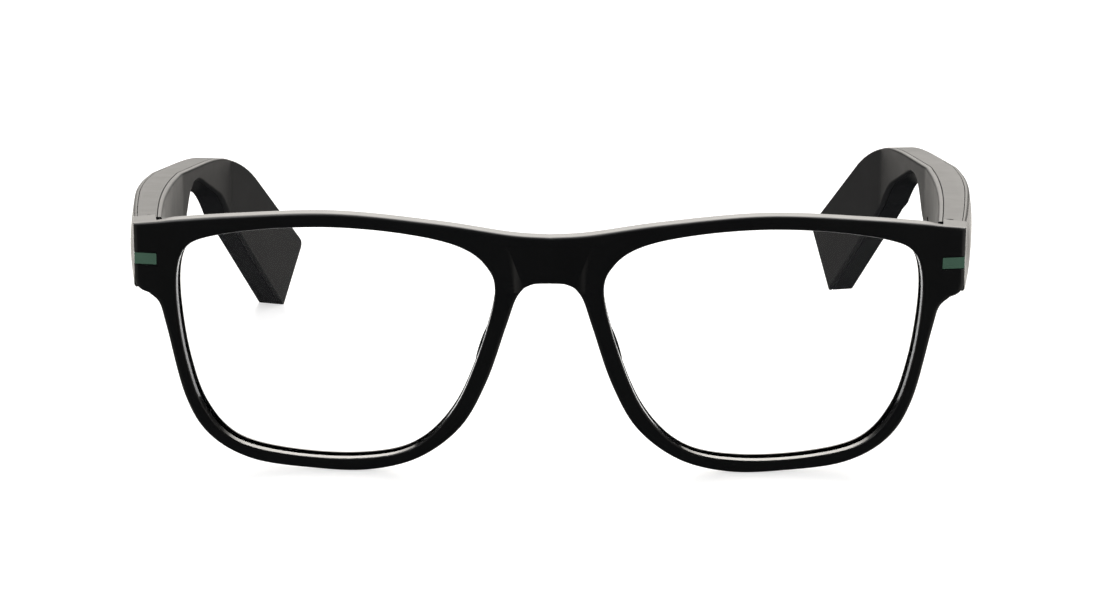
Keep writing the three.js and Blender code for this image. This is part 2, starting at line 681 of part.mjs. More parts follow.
function speakerGrille() {
  let plate = raise(pill(GRILLE.at, GRILLE.long, GRILLE.tall), 0.15, 0.85);
  for (let i = -2; i <= 2; i += 1) {
    const x = GRILLE.at[0] + 1.4 * i;
    plate = plate.subtract(slab([x - 0.35, GRILLE.at[1] - 0.8, 0], [x + 0.35, GRILLE.at[1] + 0.8, 1]));
  }
  return bendArm(plate);
}

function battery() {
  const turned = toSolid(toGeometry(roundedPlate(18, 9, 2.9, 1)).rotateZ(-TIP_SLOPE));
  const [x, y] = tipPoint(11.6);
  return laid(turned, x - 5, x + 5, y, 2.75);
}

function chargeContact([x, y]) {
  return bendArm(bar([x, y, 0.1], [x, y, 1.05], 1.1));
}

// a ribbon from the board through the neck to the battery
function flexCable() {
  const route = new THREE.Shape();
  route.moveTo(50.5, 3);
  route.bezierCurveTo(60, 3, 68, 4.7, 76, 4.85);
  route.bezierCurveTo(88, 4.8, 98, 4.1, 104, 1.4);
  route.lineTo(110, -3.6);
  const upper = dropRepeats(route.getPoints(5));
  const lower = upper.map((point) => new THREE.Vector2(point.x - 0.05, point.y - 0.3)).reverse();
  return bendArm(raise([...upper, ...lower].reverse(), 1.8, 3.6));
}

function statusLight() {
  const [x, y] = STATUS_LIGHT;
  return bendArm(bar([x, y, 0.1], [x, y, 1.2], 0.6, 12));
}

// ---- controls under the right temple ----
function keySlot(key) {
  const outlinePoints = pill([key.at, key.depth], key.long + 0.7, key.wide + 0.6);
  const cut = toGeometry(raise(outlinePoints, 0, 3));
  return toSolid(cut.rotateX(Math.PI / 2).translate(0, -5.9, 0));
}

function keyCap(key) {
  const stem = raise(pill([0, 0], key.long, key.wide), 0, KEY_TALL);
  const flange = raise(pill([0, 0], key.long + 1.6, key.wide + 0.7), KEY_TALL - KEY_FLANGE, KEY_TALL);
  const cap = toSolid(toGeometry(stem.add(flange)).rotateX(-Math.PI / 2));
  const half = key.long / 2;
  return laid(cap, key.at - half, key.at + half, KEY_FACE, key.depth);
}

// ---- assembly ----
const glasses = new THREE.Group();

function addPart(parent, name, geometry, material) {
  const part = new THREE.Mesh(geometry, material);
  part.name = name;
  parent.add(part);
}

addPart(glasses, 'front_frame', frameGeometry, frameBlack);
for (const [side, sign] of [['left', -1], ['right', 1]]) {
  const arm = armFrame(sign);
  const handed = (geometry) => (sign > 0 ? geometry : mirrored(geometry));
  const onArm = (name, geometry, material) => addPart(arm, `${name}_${side}`, handed(geometry), material);
  addPart(glasses, `lens_${side}`, lens(sign), lensClear);
  addPart(glasses, `endpiece_inlay_${side}`, inlay(sign), inlayGreen);
  addPart(glasses, `nose_pad_${side}`, nosePad(sign), padRubber);
  onArm('hinge_front_leaf', frontLeaf(), steel);
  onArm('hinge_pin', hingePin(), steel);
  onArm('hinge_temple_leaf', templeLeaf(), steel);
  LEAF_SCREWS.forEach((height, i) => {
    onArm(`leaf_screw_${i ? 'upper' : 'lower'}`, leafScrew(height), steel);
  });
  onArm('temple_shell', templeShell(sign, sign > 0 ? [keySlot(BUTTON), keySlot(ROCKER)] : []), templeGrey);
  onArm('temple_inner_cover', innerCover(sign), coverGrey);
  onArm('temple_outer_panel', outerPanel(), panelGrey);
  onArm('circuit_board', circuitBoard(), boardGreen);
  onArm('shield_can', shieldCan(), steel);
  onArm('microphone', microphone(), gold);
  onArm('speaker', speaker(), chipBlack);
  onArm('speaker_grille', speakerGrille(), steel);
  onArm('flex_cable', flexCable(), flexAmber);
  onArm('battery', battery(), cellBlue);
  CONTACTS.forEach((place, i) => {
    onArm(`charge_contact_${i ? 'front' : 'rear'}`, chargeContact(place), gold);
  });
  if (sign > 0) {
    onArm('status_light', statusLight(), lightWhite);
    onArm('action_button', keyCap(BUTTON), chipBlack);
    onArm('volume_rocker', keyCap(ROCKER), chipBlack);
    onArm('action_switch', keySwitch(BUTTON.at), steel);
    onArm('volume_up_switch', keySwitch(ROCKER.at - ROCKER_ARM), steel);
    onArm('volume_down_switch', keySwitch(ROCKER.at + ROCKER_ARM), steel);
  }
  glasses.add(arm);
}

// the origin is the middle of the footprint, on the surface that the glasses stand on
const bounds = new THREE.Box3().setFromObject(glasses, true);
const middle = bounds.getCenter(new THREE.Vector3());
glasses.position.set(-middle.x, -middle.y, -bounds.min.z);

export default glasses;
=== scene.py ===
"""Smart glasses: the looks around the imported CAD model.

Every shape is modelled flat, in millimetres, as (along, height, depth), and is then bent into place, as in
the CAD source. "right" is the +X side, and the left-hand pieces are mirror images of the right-hand ones.
"""

import json
import math

import bmesh
import bpy
from mathutils import Matrix, Vector
from mathutils.geometry import tessellate_polygon


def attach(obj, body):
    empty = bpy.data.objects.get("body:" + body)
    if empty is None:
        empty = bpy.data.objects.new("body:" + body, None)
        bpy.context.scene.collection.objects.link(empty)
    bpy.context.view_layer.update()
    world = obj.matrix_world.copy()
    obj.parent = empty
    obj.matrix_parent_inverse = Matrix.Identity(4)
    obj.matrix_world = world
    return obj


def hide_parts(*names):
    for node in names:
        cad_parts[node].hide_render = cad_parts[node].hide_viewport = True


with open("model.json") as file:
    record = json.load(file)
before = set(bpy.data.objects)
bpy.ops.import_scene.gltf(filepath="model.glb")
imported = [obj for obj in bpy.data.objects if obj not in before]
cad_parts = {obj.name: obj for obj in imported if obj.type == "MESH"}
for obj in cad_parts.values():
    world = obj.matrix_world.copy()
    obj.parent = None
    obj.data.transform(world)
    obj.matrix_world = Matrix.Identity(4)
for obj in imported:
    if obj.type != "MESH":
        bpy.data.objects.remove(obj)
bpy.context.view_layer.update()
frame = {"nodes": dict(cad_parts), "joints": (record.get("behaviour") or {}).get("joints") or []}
joints = {joint["name"]: joint for joint in frame["joints"]}

MM = 0.001
TOOL = 20  # cutting tools reach about this far past what they cut

# ---- the front, in millimetres ----
FRONT_RADIUS = 480  # wrap around the face
FRONT_TILT = math.radians(5)
FRONT_HEIGHT = 47.5
FRONT_THICK = 3.8
FRONT_ROUND = 0.75  # rounding along the outer edges of the front
BACK_ROUND = 1.5  # and along the ones behind
RIM_ROUND = 0.35  # rounding along the edges of the lens openings
END_HALF = 73.4  # half width of the front, along its curve
END_INNER = 69.2
END_START = 1.6  # the endpiece's block starts inside the plate, and ends behind it
END_DEEP = 11
END_LOW = 31.7
END_FLARE = 0.115
END_DROP = math.radians(4.3)
END_TOP = 44.45
# the curved front turns into the straight endpiece over these lengths and heights
END_BLEND_ALONG = (66.5, 67.2, 67.8, 68.4, 69)
END_BLEND_UP = (29, 29.8, 30.5, 31.2, 32)
GROOVE_FRONT = 1.5
GROOVE_WIDE = 1.7
GROOVE_DEEP = 0.7
LENS_THICK = 1.5
LENS_SEAT = 0.55
LENS_EDGE = 0.2
INLAY_LOW = 37.0
INLAY_TALL = 2.1
INLAY_LONG = 4.0
INLAY_DEEP = 0.5
INLAY_SUNK = 0.03
INLAY_ROUND = 0.12
PAD_AT = (10.9, 22.5)
PAD_SIZE = (1.55, 6.2, 4.6)  # half width, half height and depth of a nose pad
PAD_TURN = math.radians(18)
PAD_FLATNESS = 0.65
GAP = 0.12

# ---- the temples, in millimetres ----
HINGE = Vector((67.9, 14.6, 38))
# the arms run down towards the ears; the right one is worn a little out of line, raised and splayed
ARM_DROP = {"left": math.radians(4.3), "right": math.radians(2.55)}
ARM_SPLAY = {"left": 0, "right": math.radians(1.4)}
ARM_TOP = 6.0
JOINT_AT = 1.45
JOINT_GAP = 0.15
INLAY_GAP = 0.1  # more room behind the inlay
ARM_LAYERS = 6
ARM_ROUND = 0.5
COVER_THICK = 1.0
SHELL_START = 1.1
CAVITY_FLOOR = 4.3
PANEL_START = 5.25
PANEL_END = 74
PANEL_GAP = 0.1
PANEL_CROWN = 0.65  # the outer panel bulges by this much
PANEL_MIDDLE = -0.6
PANEL_HALF = 6.6
PARTING = 0.07  # small chamfer on each side of a parting line
WALL = 1.0
SOLID_FRONT = 11
TIP_SLOPE = math.radians(37.5)
TIP_WIDE = 15.6
TIP_TOP = Vector((138.2, -16.7))
TIP_ROUND = 1.8
LEAF_END = 10
LEAF_HALF = 3.7
LEAF_GAP = 0.2
LEAF_SCREW_AT = 7.8
LEAF_SCREWS = {"lower": -2.1, "upper": 2.1}
SCREW_HEAD = {"start": 0.12, "end": 0.45, "radius": 0.95, "edge": 0.08}
SCREW_CROSS = {"long": 0.62, "wide": 0.13, "deep": 0.3}
SCREW_SHANK = {"start": 0.4, "end": 3.6, "radius": 0.42}
BARREL_ROOM = 1.6
BARREL_HALF = 5
GRILLE_AT = Vector((58, -4.2))
GRILLE_LONG = 9
GRILLE_TALL = 2.6
GRILLE_PLATE = {"start": 0.15, "end": 0.85, "round": 0.12}
GRILLE_SLOTS = {"pitch": 1.4, "tall": 1.7, "wide": 0.7}
MIC_PORT = {"at": 17, "low": -9, "high": -5, "depth": 3.4, "radius": 0.4}
TOP_RECESS = {"behind": 2.1, "depth": 2.35, "radius": 1.1, "deep": 0.9}  # round, just behind the joint
CONTACTS = {"rear": Vector((49.5, -3.2)), "front": Vector((45, -3.2))}
CONTACT = {"start": 0.1, "end": 1.05, "radius": 1.1, "edge": 0.15, "room": 1.3}
STATUS_LIGHT = Vector((27, 2.6))
LIGHT_ROOM = 0.7
BUTTON = {"at": 24, "long": 5.6, "wide": 1.9, "depth": 2.8}
ROCKER = {"at": 37, "long": 11, "wide": 1.9, "depth": 2.8}
KEY_FACE = -7.7
KEY_TALL = 1.9
KEY_ROUND = 0.35
KEY_DISH = 0.16
KEY_FLANGE = {"thick": 0.35, "longer": 1.6, "wider": 0.7}
KEY_SLOT = {"longer": 0.7, "wider": 0.6, "top": -5.9, "deep": 3}

# plan of the arm: distance back (the hinge is at JOINT_AT), inner face's distance from the middle, thickness
ARM_CURVE = [
    (0, 68.8, 5.0), (14, 69.9, 5.3), (28, 70.8, 5.65), (42, 71.3, 6.2), (55, 71.4, 6.4), (67, 71.1, 6.2),
]
ARM_BACK = [(104, 64.5, 5.8), (140, 49.75, 5.8)]
CREASE_ROUND = 1.0

SHARP_ANGLE = math.radians(32)  # edges sharper than this stay edges in the shading

SIDES = {"left": -1, "right": 1}


# ---- outlines ----
def vectors(points):
    return [Vector(point) for point in points]


def spline(knots, divisions, closed=False):
    """A smooth curve through the knots, with the same number of steps between each two."""
    knots = vectors(knots)
    if closed:
        padded = [knots[-1], *knots, knots[0], knots[1]]
    else:
        padded = [2 * knots[0] - knots[1], *knots, 2 * knots[-1] - knots[-2]]
    points = []
    for before, start, end, after in zip(padded, padded[1:], padded[2:], padded[3:]):
        leave = (end - before) / 2
        arrive = (after - start) / 2
        for step in range(divisions):
            t = step / divisions
            points.append(
                start * (2 * t**3 - 3 * t**2 + 1)
                + leave * (t**3 - 2 * t**2 + t)
                + end * (3 * t**2 - 2 * t**3)
                + arrive * (t**3 - t**2)
            )
    return points if closed else points + [knots[-1]]


def bezier(points, steps):
    """A Bezier curve through any number of control points, without its first point."""
    made = []
    for step in range(1, steps + 1):
        level = vectors(points)
        t = step / steps
        while len(level) > 1:
            level = [a.lerp(b, t) for a, b in zip(level, level[1:])]
        made.append(level[0])
    return made


def drop_repeats(points):
    return [point for point, after in zip(points, points[1:] + points[:1]) if (point - after).length > 1e-3]


def inset(points, distance):
    """Moves a closed outline to its left: inwards if it is anticlockwise, outwards if it is clockwise."""
    moved = []
    for i, point in enumerate(points):
        first = (point - points[i - 1]).normalized()
        second = (points[(i + 1) % len(points)] - point).normalized()
        left = Vector((-first.y - second.y, first.x + second.x)).normalized()
        moved.append(point + left * (distance / left.dot(Vector((-first.y, first.x)))))
    return moved


def pill(centre, length, width, steps=10):
    """The anticlockwise outline of a bar with round ends."""
    half = (length - width) / 2
    points = []
    for side in (1, -1):
        for step in range(steps + 1):
            angle = math.pi * (step / steps - 0.5 * side)
            out = Vector((side * half + width / 2 * math.cos(angle), width / 2 * math.sin(angle)))
            points.append(Vector(centre) + out)
    return drop_repeats(points)


def rectangle(low, high):
    return vectors([(low[0], low[1]), (high[0], low[1]), (high[0], high[1]), (low[0], high[1])])


def mirrored_outline(points):
    return [Vector((-point.x, point.y)) for point in reversed(points)]


def sides(low, high, round_low=0.0, round_high=0.0, steps=5):
    """The profile of a body's sides, as (inset, depth) pairs, with each end rounded by a quarter circle."""
    profile = []
    for radius, level, inward in ((round_low, low, 1), (round_high, high, -1)):
        if radius == 0:
            profile.append((0.0, level))
            continue
        arc = []
        for step in range(steps + 1):
            angle = math.pi / 2 * step / steps
            arc.append((radius * (1 - math.sin(angle)), level + inward * radius * (1 - math.cos(angle))))
        profile += arc if inward == 1 else reversed(arc)
    return profile


# ---- solids ----
def new_object(name, bm):
    mesh = bpy.data.meshes.new(name)
    bm.to_mesh(mesh)
    bm.free()
    made = bpy.data.objects.new(name, mesh)
    bpy.context.scene.collection.objects.link(made)
    return made


def solid(name, outline, profile, holes=(), hole_profile=None):
    """A closed flat body whose sides follow a profile of (inset, depth) pairs."""
    bm = bmesh.new()
    ends = ([], [])
    for points, steps in [(outline, profile), *((hole, hole_profile) for hole in holes)]:
        rings = []
        for distance, depth in steps:
            rings.append([bm.verts.new((point.x, point.y, depth)) for point in inset(points, distance)])
        for low, high in zip(rings, rings[1:]):
            for i in range(len(points)):
                bm.faces.new((low[i - 1], low[i], high[i], high[i - 1]))
        ends[0].append(rings[0])
        ends[1].append(rings[-1])
    for end in ends:
        corners = [corner for ring in end for corner in ring]
        for triangle in tessellate_polygon([[corner.co for corner in ring] for ring in end]):
            bm.faces.new([corners[i] for i in triangle])
    bmesh.ops.recalc_face_normals(bm, faces=bm.faces)
    return new_object(name, bm)


def slab(low, high):
    return solid("slab", rectangle(low, high), [(0, low[2]), (0, high[2])])


def prism(corners, low, high):
    return solid("prism", vectors(corners), [(0, low), (0, high)])


def bar(start, end, radius, edge=0.0, steps=28):
    """A round bar between two points, with an optional small chamfer at both ends."""
    start, end = Vector(start), Vector(end)
    circle = pill((0, 0), 2 * radius, 2 * radius, steps // 2)
    made = solid("bar", circle, sides(0, (end - start).length, edge, edge, 2))
    turn = (end - start).to_track_quat("Z", "Y").to_matrix().to_4x4()
    made.data.transform(Matrix.Translation(start) @ turn)
    return made


def combine(target, tool, operation="DIFFERENCE"):
    """Cuts the tool out of the target, or joins it on, and removes the tool."""
    modifier = target.modifiers.new("combine", "BOOLEAN")
    modifier.operation = operation
    modifier.solver = "EXACT"
    modifier.object = tool
    bpy.context.view_layer.update()
    made = bpy.data.meshes.new_from_object(target.evaluated_get(bpy.context.evaluated_depsgraph_get()))
    target.modifiers.clear()
    target.data = made
    bpy.data.objects.remove(tool)
    return target


def split_at(bm, axis, value):
    normal = Vector((0, 0, 0))
    normal[axis] = 1
    everything = [*bm.verts, *bm.edges, *bm.faces]
    bmesh.ops.bisect_plane(bm, geom=everything, dist=1e-4, plane_co=normal * value, plane_no=normal)


def bend(target, cuts, move):
    """Splits the body's faces at the cuts, given as (axis, value), and moves each corner to its place."""
    bm = bmesh.new()
    bm.from_mesh(target.data)
    bmesh.ops.triangulate(bm, faces=[face for face in bm.faces if len(face.verts) > 4])
    for axis, value in cuts:
        split_at(bm, axis, value)
    for corner in bm.verts:
        corner.co = move(*corner.co)
    bmesh.ops.recalc_face_normals(bm, faces=bm.faces)
    bm.to_mesh(target.data)
    bm.free()
    return target


# ---- places ----
def blend(value, low, high):
    share = min(max((value - low) / (high - low), 0), 1)
    return share * share * (3 - 2 * share)


def front_place(along, height, depth):
    """Where a point of the front goes: along its curve, its height, and its depth behind the front face."""
    turn = along / FRONT_RADIUS

    def tilted(x, back, up):
        down = FRONT_HEIGHT - up
        return Vector((
            x,
            back * math.cos(FRONT_TILT) + down * math.sin(FRONT_TILT),
            back * math.sin(FRONT_TILT) + up * math.cos(FRONT_TILT),
        ))

    face = tilted(FRONT_RADIUS * math.sin(turn), FRONT_RADIUS * (1 - math.cos(turn)), height)
    inner = FRONT_RADIUS - 1
    square = tilted(inner * math.sin(turn), FRONT_RADIUS - inner * math.cos(turn), height) - face
    towards_arm = Vector((math.copysign(END_FLARE, along), 1, -math.tan(END_DROP)))
    share = blend(abs(along), END_BLEND_ALONG[0], END_BLEND_ALONG[-1])
    share *= blend(height, END_BLEND_UP[0], END_BLEND_UP[-1])
    return face + square.lerp(towards_arm, share) * depth


def arm_stations():
    """The arm's plan as (length along, inner point, outer point), smooth up to its first crease."""
    plan = [Vector((out - HINGE.x, back - JOINT_AT, thick)) for back, out, thick in ARM_CURVE + ARM_BACK]
    smooth = spline(plan[: len(ARM_CURVE)], 6)
    corners = smooth + plan[len(ARM_CURVE):]
    plan = []
    for i, corner in enumerate(corners):
        if i in (len(smooth) - 1, len(smooth)):
            before = (corners[i - 1] - corner).normalized() * CREASE_ROUND
            after = (corners[i + 1] - corner).normalized() * CREASE_ROUND
            plan += [corner + before, *bezier([corner + before, corner, corner + after], 4)]
        else:
            plan.append(corner)
    stations = []
    length = 0
    for i, place in enumerate(plan):
        inner = place.xy
        before = plan[max(i - 1, 0)].xy
        after = plan[min(i + 1, len(plan) - 1)].xy
        length += (inner - before).length
        first = (inner - before).normalized()
        second = (after - inner).normalized()
        direction = (first + second).normalized() if i else Vector((0, 1))
        mitre = direction.dot(second) if second.length and i else 1
        outer = inner + Vector((direction.y, -direction.x)) * (place.z / mitre)
        stations.append((length, inner, outer))
    return stations


STATIONS = arm_stations()


def panel_crown(along, height):
    """How far the outer panel bulges: most along its middle, and not at all at its edges and ends."""
    ends = blend(along, JOINT_AT, 14) * (1 - blend(along, 60, PANEL_END))
    return PANEL_CROWN * ends * max(0, 1 - ((height - PANEL_MIDDLE) / PANEL_HALF) ** 2)


def arm_place(along, height, depth):
    """Where a point of the arm goes, in the arm's own frame: x out from the hinge, y back, z up."""
    i = 0
    while i < len(STATIONS) - 2 and along > STATIONS[i + 1][0]:
        i += 1
    (low, inner, outer), (high, next_inner, next_outer) = STATIONS[i], STATIONS[i + 1]
    share = (along - low) / (high - low)
    inner = inner.lerp(next_inner, share)
    outer = outer.lerp(next_outer, share)
    crown = panel_crown(along, height) * max(0, (depth - PANEL_START) / (ARM_LAYERS - PANEL_START))
    point = inner.lerp(outer, depth / ARM_LAYERS) + (outer - inner).normalized() * crown
    return Vector((point.x, point.y, height))


ARM_CUTS = [(0, length) for length, _, _ in STATIONS[1:-1]]
CROWN_CUTS = [(1, PANEL_MIDDLE + PANEL_HALF * step / 8) for step in range(-7, 8)]
FRONT_CUTS = [(0, along) for along in range(-72, 73, 3)]
END_CUTS = [(0, side * along) for along in END_BLEND_ALONG for side in (-1, 1)]
END_CUTS += [(1, height) for height in END_BLEND_UP]

arm_to_front = {
    side: Matrix.Translation(HINGE)
    @ Matrix.Rotation(-ARM_SPLAY[side], 4, "Z")
    @ Matrix.Rotation(-ARM_DROP[side], 4, "X")
    for side in SIDES
}
hinge_in_frame = Vector(joints["temple_right_fold"]["pos_m"])
to_frame = Matrix.Translation(hinge_in_frame) @ Matrix.Scale(MM, 4) @ Matrix.Translation(-HINGE)


def bend_front(piece, cuts=()):
    return bend(piece, [*FRONT_CUTS, *cuts], front_place)


def bend_arm(piece, cuts=()):
    return bend(piece, [*ARM_CUTS, *cuts], arm_place)


# ---- the front: outlines ----
OPENING_KNOTS = [
    (65.8, 29), (65.8, 36), (64.2, 40.3), (60, 42.5), (50, 44.3), (38, 45), (26, 44.2), (16.5, 42.2),
    (11.4, 38.8), (9.6, 33.5), (12.3, 22.5), (17, 11.6), (24, 4.6), (34, 2.3), (47, 2.7), (56.3, 5.1),
    (61.6, 11), (64.4, 19.5),
]
BROW_KNOTS = [(0, 43.8), (7, 44.25), (20, 46.1), (38, 47.5), (56, 46.4), (END_HALF, END_TOP)]
CORNER_KNOTS = [(END_HALF, 34.4), (73.1, 33.1), (72.2, 32.2), (70.9, END_LOW)]
RIM_KNOTS = [
    (70.9, END_LOW), (69.2, 29.9), (68, 25.5), (64.9, 12.8), (60.6, 5.6), (53, 1.4), (42, 0.1), (32, 0.1),
    (23, 2.6), (15.6, 8.5), (11, 17), (7.6, 27.2), (5.6, 32.9), (3.2, 34.9), (0, 35.2),
]
# the left half of the sunken middle of the bridge, as (along, height, depth)
BRIDGE_RECESS = [
    (-7.4, 42.4, 0), (-6.4, 33.6, 0), (-4.1, 33.6, 1.1),
    (-4.6, 34.4, 1.1), (-7.4, 42.4, -1), (-6.4, 33.6, -1),
]
# in the arm's frame: the room for the hinge's front leaf, and the plan of the slanted corner beside it
LEAF_ROOM = ((-2, -4, -BARREL_HALF), (2, 1, BARREL_HALF))
CORNER_ROOM = [(-1, 1), (-1, -3.2), (0.9, -3.2), (2, 0.5), (2, 1)]
opening = drop_repeats(spline(OPENING_KNOTS, 8, closed=True))


def front_half():
    """The right half of the front's outline, from the top of the bridge round to its underside."""
    return spline(BROW_KNOTS, 12) + spline(CORNER_KNOTS, 4) + spline(RIM_KNOTS, 8)[1:]


def front_outline():
    half = front_half()
    return drop_repeats(list(reversed(half + mirrored_outline(half[1:-1]))))


def endpiece_block():
    """The right endpiece behind the front's plate. Its sides lie on the plate's own sides."""
    half = [point for point in front_half() if point.x > END_INNER and point.y > END_LOW - 0.01]
    slope = (half[1].y - half[0].y) / (half[1].x - half[0].x)
    inner_top = Vector((END_INNER, half[0].y + slope * (END_INNER - half[0].x)))
    outline = [inner_top, *half, Vector((END_INNER, END_LOW))]
    return solid("endpiece_block", drop_repeats(list(reversed(outline))), sides(END_START, END_DEEP))


def bridge_recess():
    """The sunken middle of the bridge, shallow at the brow and deep at the lower edge."""
    bm = bmesh.new()
    for along, height, depth in BRIDGE_RECESS:
        bm.verts.new((along, height, depth))
        bm.verts.new((-along, height, depth))
    bmesh.ops.convex_hull(bm, input=bm.verts)
    return new_object("bridge_recess", bm)


def inlay_body(grow, outer, rounding):
    """The L-shaped strip that wraps from the endpiece's face onto its side, or the room for it."""
    low = INLAY_LOW - grow
    high = INLAY_LOW + INLAY_TALL + grow
    across = END_HALF + outer
    corners = [
        (END_HALF - INLAY_LONG - grow, -outer),
        (across, -outer),
        (across, END_DEEP),
        (END_HALF - INLAY_DEEP - grow, END_DEEP),
        (END_HALF - INLAY_DEEP - grow, INLAY_DEEP + grow),
        (END_HALF - INLAY_LONG - grow, INLAY_DEEP + grow),
    ]
    strip = solid("inlay", vectors(corners), sides(low, high, rounding, rounding, 2))
    # the outline was drawn in (along, depth): swap depth and height
    strip.data.transform(Matrix(((1, 0, 0, 0), (0, 0, 1, 0), (0, 1, 0, 0), (0, 0, 0, 1))))
    strip.data.flip_normals()
    return strip


def barrel_room():
    """The room around the hinge's barrels, along its axis."""
    return bar((0, 0, -BARREL_HALF), (0, 0, BARREL_HALF), BARREL_ROOM)


def behind_joint(gap):
    """All that lies behind the joint and up to a gap in front of it, in the arm's frame."""
    return slab((-TOOL, -gap, -TOOL), (TOOL, TOOL, TOOL))


def hinge_room():
    """What the hinge and the joint take out of the endpiece, in the arm's frame."""
    room = behind_joint(JOINT_GAP)
    combine(room, barrel_room(), "UNION")
    combine(room, slab(*LEAF_ROOM), "UNION")
    return combine(room, prism(CORNER_ROOM, -TOOL / 2, TOOL / 2), "UNION")


def mirror(piece):
    piece.data.transform(Matrix.Scale(-1, 4, (1, 0, 0)))
    piece.data.flip_normals()
    return piece


def on_side(piece, sign):
    return piece if sign > 0 else mirror(piece)


def mark_polished(flat):
    """Gives the walls of the lens openings the piece's second material."""
    across = [point.x for point in opening]
    up = [point.y for point in opening]
    low = Vector((min(across) - GROOVE_DEEP, min(up) - GROOVE_DEEP))
    high = Vector((max(across) + GROOVE_DEEP, max(up) + GROOVE_DEEP))
    middle = (low + high) / 2
    for polygon in flat.data.polygons:
        side = math.copysign(1, polygon.center.x)
        centre = Vector((side * polygon.center.x, polygon.center.y))
        facing = Vector((side * polygon.normal.x, polygon.normal.y))
        within = low.x < centre.x < high.x and low.y < centre.y < high.y
        if within and facing.length > 0.8 and facing.dot(middle - centre) > 0:
            polygon.material_index = 1


def front_frame():
    rim = [
        *sides(0, GROOVE_FRONT, RIM_ROUND),
        (GROOVE_DEEP, GROOVE_FRONT),
        (GROOVE_DEEP, GROOVE_FRONT + GROOVE_WIDE),
        *sides(GROOVE_FRONT + GROOVE_WIDE, FRONT_THICK, 0, RIM_ROUND),
    ]
    holes = [list(reversed(opening)), list(reversed(mirrored_outline(opening)))]
    edges = sides(0, FRONT_THICK, FRONT_ROUND, BACK_ROUND, 6)
    flat = solid("front_frame", front_outline(), edges, holes, rim)
    for sign in SIDES.values():
        combine(flat, on_side(endpiece_block(), sign), "UNION")
        combine(flat, on_side(inlay_body(GAP, 1, 0), sign))
    combine(flat, bridge_recess())
    mark_polished(flat)
    bend_front(flat, END_CUTS)
    for side, sign in SIDES.items():
        room = hinge_room()
        room.data.transform(arm_to_front[side])
        combine(flat, on_side(room, sign))
    return flat


def lens():
    start = GROOVE_FRONT + (GROOVE_WIDE - LENS_THICK) / 2
    grown = inset(opening, -LENS_SEAT)
    return bend_front(solid("lens", grown, sides(start, start + LENS_THICK, LENS_EDGE, LENS_EDGE, 2)))


def inlay(side):
    strip = inlay_body(0, -INLAY_SUNK, INLAY_ROUND)
    bend_front(strip, END_CUTS)
    behind = behind_joint(JOINT_GAP + INLAY_GAP)
    behind.data.transform(arm_to_front[side])
    return combine(strip, behind)


def nose_pad():
    """A soft fin behind the nose side of the rim."""
    bm = bmesh.new()
    bmesh.ops.create_uvsphere(bm, u_segments=48, v_segments=32, radius=1)
    below = [corner for corner in bm.verts if corner.co.z < -1e-4]
    bmesh.ops.delete(bm, geom=below, context="VERTS")
    rim = [edge for edge in bm.edges if edge.is_boundary]
    bmesh.ops.contextual_create(bm, geom=rim)
    for corner in bm.verts:
        x, y, z = corner.co
        pointed = math.sqrt(max(z, 0)) * z
        height = PAD_FLATNESS * z + (1 - PAD_FLATNESS) * pointed
        corner.co = (PAD_SIZE[0] * x, PAD_SIZE[1] * y, PAD_SIZE[2] * height)
    pad = new_object("nose_pad", bm)
    pad.data.transform(Matrix.Translation((*PAD_AT, FRONT_THICK + GAP)) @ Matrix.Rotation(PAD_TURN, 4, "Z"))
    return bend(pad, [], front_place)


# ---- the temples: outlines and layers ----
def temple_outline():
    """The arm seen from its side: straight, then a thin neck over the ear, then the deep slanted tip."""
    along = Vector((math.cos(TIP_SLOPE), -math.sin(TIP_SLOPE)))
    across = Vector((-math.sin(TIP_SLOPE), -math.cos(TIP_SLOPE)))
    start = JOINT_AT + JOINT_GAP
    points = vectors([(start, -6.3), (start, ARM_TOP), (82, ARM_TOP)])
    points += bezier([(82, ARM_TOP), (98, ARM_TOP), (107.8, 5), (116, -0.5)], 16)
    points.append(TIP_TOP - along * TIP_ROUND)
    points += bezier([points[-1], TIP_TOP, TIP_TOP + across * TIP_ROUND], 8)
    points += [TIP_TOP + across * TIP_WIDE, Vector((108, -10.9))]
    points += bezier([(108, -10.9), (104.5, -7.7), (101, -3.9), (96, -1.7)], 10)
    points.append(Vector((84, 2.1)))
    points += bezier([(84, 2.1), (79.5, 3.7), (75.6, 4.4), (72.6, 0.6)], 14)
    points += bezier([(72.6, 0.6), (70.2, -2.6), (69.5, -7.3), (60, -7.3)], 14)
    points.append(Vector((12, -7.6)))
    points += bezier([(12, -7.6), (5, -7.4), (start, -6.3)], 6)
    return drop_repeats(list(reversed(points)))


arm_outline = temple_outline()


def under_floor(side):
    """Everything under the surface that the glasses stand on, in the arm's frame."""
    floor_level = (to_frame.inverted() @ Vector((0, 0, 0))).z
    below = slab((0, 60, floor_level - 10), (150, 200, floor_level))
    below.data.transform(arm_to_front[side].inverted())
    return below


def through(place, radius, low=-1, high=2):
    """A round tool across the layers, at a point of the arm."""
    return bar((place.x, place.y, low), (place.x, place.y, high), radius)


def all_along(start, end, depth):
    """Everything on the arm from one length to another, and from a depth outwards."""
    return slab((start, -2 * TOOL, depth), (end, TOOL, ARM_LAYERS + 3))


def upright_bar(at, low, high, hole):
    """A round tool from one height to another, with a hole's own depth and radius."""
    return bar((at, low, hole["depth"]), (at, high, hole["depth"]), hole["radius"])


def key_slot(key):
    centre = (key["at"], -key["depth"])
    slot_outline = pill(centre, key["long"] + KEY_SLOT["longer"], key["wide"] + KEY_SLOT["wider"])
    slot = solid("key_slot", slot_outline, sides(0, KEY_SLOT["deep"]))
    slot.data.transform(Matrix.Translation((0, KEY_SLOT["top"], 0)) @ Matrix.Rotation(math.pi / 2, 4, "X"))
    return slot


